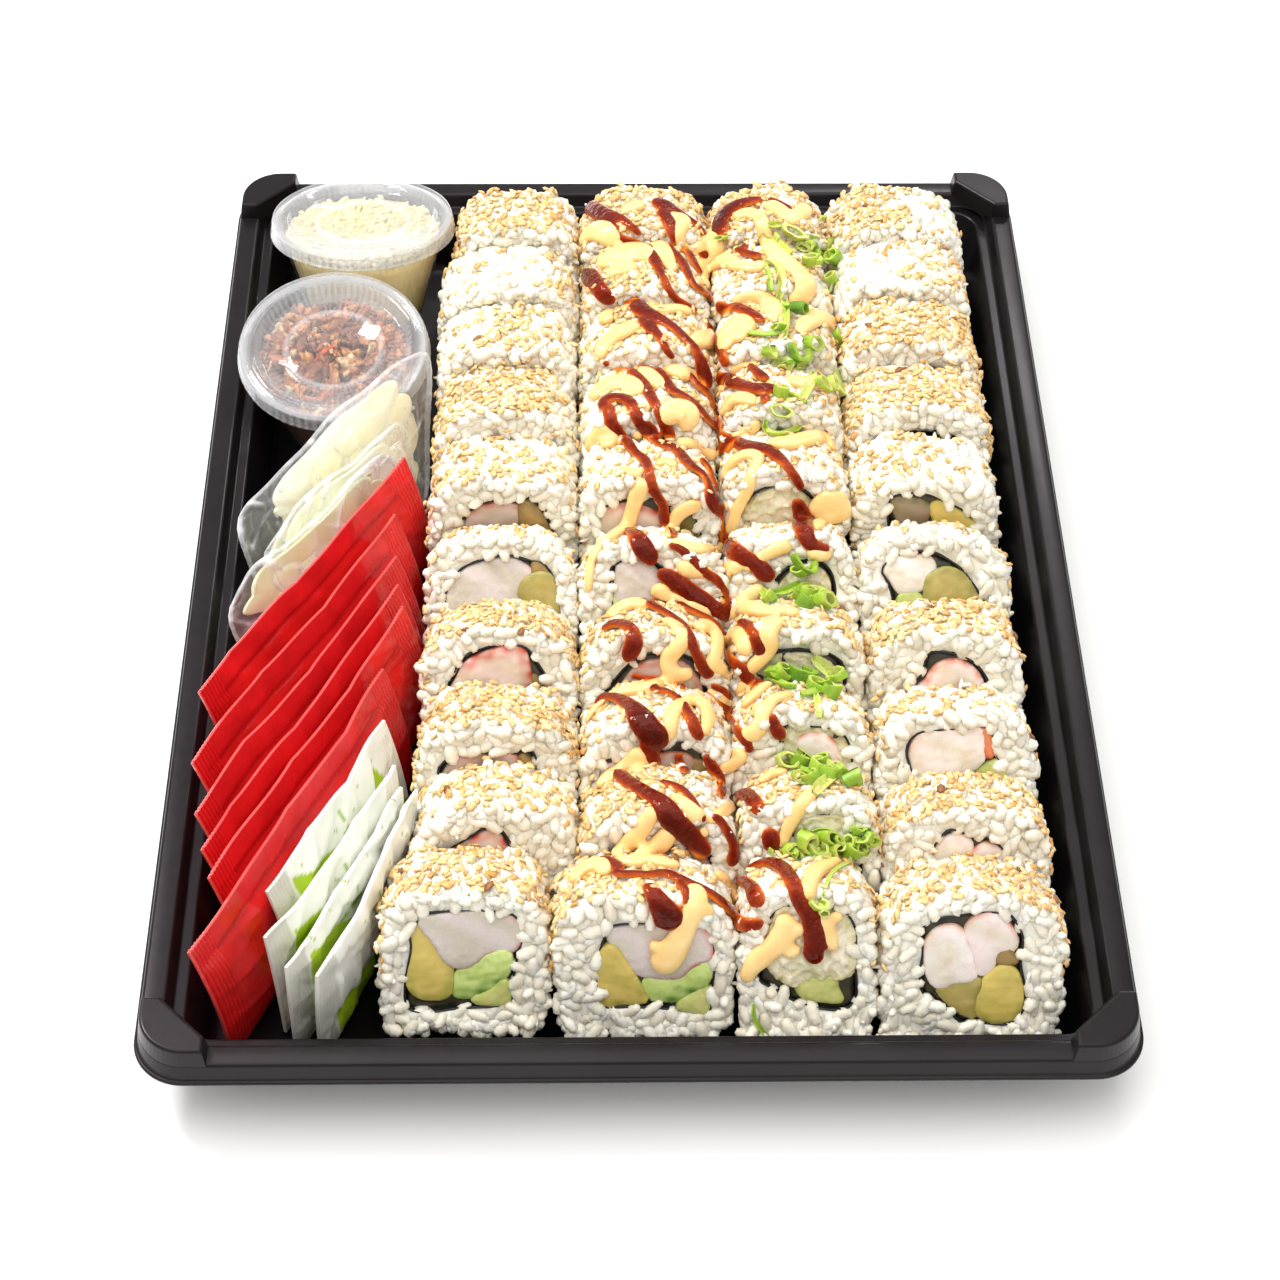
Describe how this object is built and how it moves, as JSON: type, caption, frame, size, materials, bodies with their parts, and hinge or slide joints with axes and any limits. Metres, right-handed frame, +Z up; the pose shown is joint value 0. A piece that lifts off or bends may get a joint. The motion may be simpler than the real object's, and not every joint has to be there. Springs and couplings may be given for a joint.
{
  "type": "takeaway sushi tray",
  "caption": "Takeaway sushi platter: a black plastic tray of sliced inside-out rolls with lidded cups of toppings, bags of pickled ginger, sauce packets and paper packets.",
  "frame": {"origin": "under the middle of the tray, on the surface it stands on", "axes": "+X to the right, +Y to the back along the tray's length, +Z up; the cups, bags and packets are on the -X side"},
  "size_m": [0.256, 0.35, 0.0493],
  "materials": {
    "black_plastic": "satin, thermoformed sheet",
    "rice": "moist cooked rice with toasted sesame, nori and fillings",
    "clear_plastic": "clear glossy",
    "pale_gratings": "pale yellow grated flakes",
    "fried_crumbs": "brown crisp fried pieces",
    "pickled_ginger": "moist slices in clear film",
    "red_film": "glossy printed film",
    "white_paper": "matt coated paper with a lime green band"
  },
  "bodies": {
    "root": {"tray": "black_plastic", "roll_a01": "rice", "roll_a02": "rice", "roll_a03": "rice", "roll_a04": "rice", "roll_a05": "rice", "roll_a06": "rice", "roll_a07": "rice", "roll_a08": "rice", "roll_a09": "rice", "roll_a10": "rice", "roll_b01": "rice", "roll_b02": "rice", "roll_b03": "rice", "roll_b04": "rice", "roll_b05": "rice", "roll_b06": "rice", "roll_b07": "rice", "roll_b08": "rice", "roll_b09": "rice", "roll_b10": "rice", "roll_c01": "rice", "roll_c02": "rice", "roll_c03": "rice", "roll_c04": "rice", "roll_c05": "rice", "roll_c06": "rice", "roll_c07": "rice", "roll_c08": "rice", "roll_c09": "rice", "roll_c10": "rice", "roll_d01": "rice", "roll_d02": "rice", "roll_d03": "rice", "roll_d04": "rice", "roll_d05": "rice", "roll_d06": "rice", "roll_d07": "rice", "roll_d08": "rice", "roll_d09": "rice", "roll_d10": "rice", "cup_back": "clear_plastic", "cup_back_filling": "pale_gratings", "cup_back_lid": "clear_plastic", "cup_front": "clear_plastic", "cup_front_filling": "fried_crumbs", "cup_front_lid": "clear_plastic", "sauce_packet_1": "red_film", "sauce_packet_2": "red_film", "sauce_packet_3": "red_film", "sauce_packet_4": "red_film", "sauce_packet_5": "red_film", "sauce_packet_6": "red_film", "paper_packet_1": "white_paper", "paper_packet_2": "white_paper", "paper_packet_3": "white_paper", "paper_packet_4": "white_paper", "ginger_bag_1": "pickled_ginger", "ginger_bag_2": "pickled_ginger", "ginger_bag_3": "pickled_ginger"}
  },
  "joints": []
}
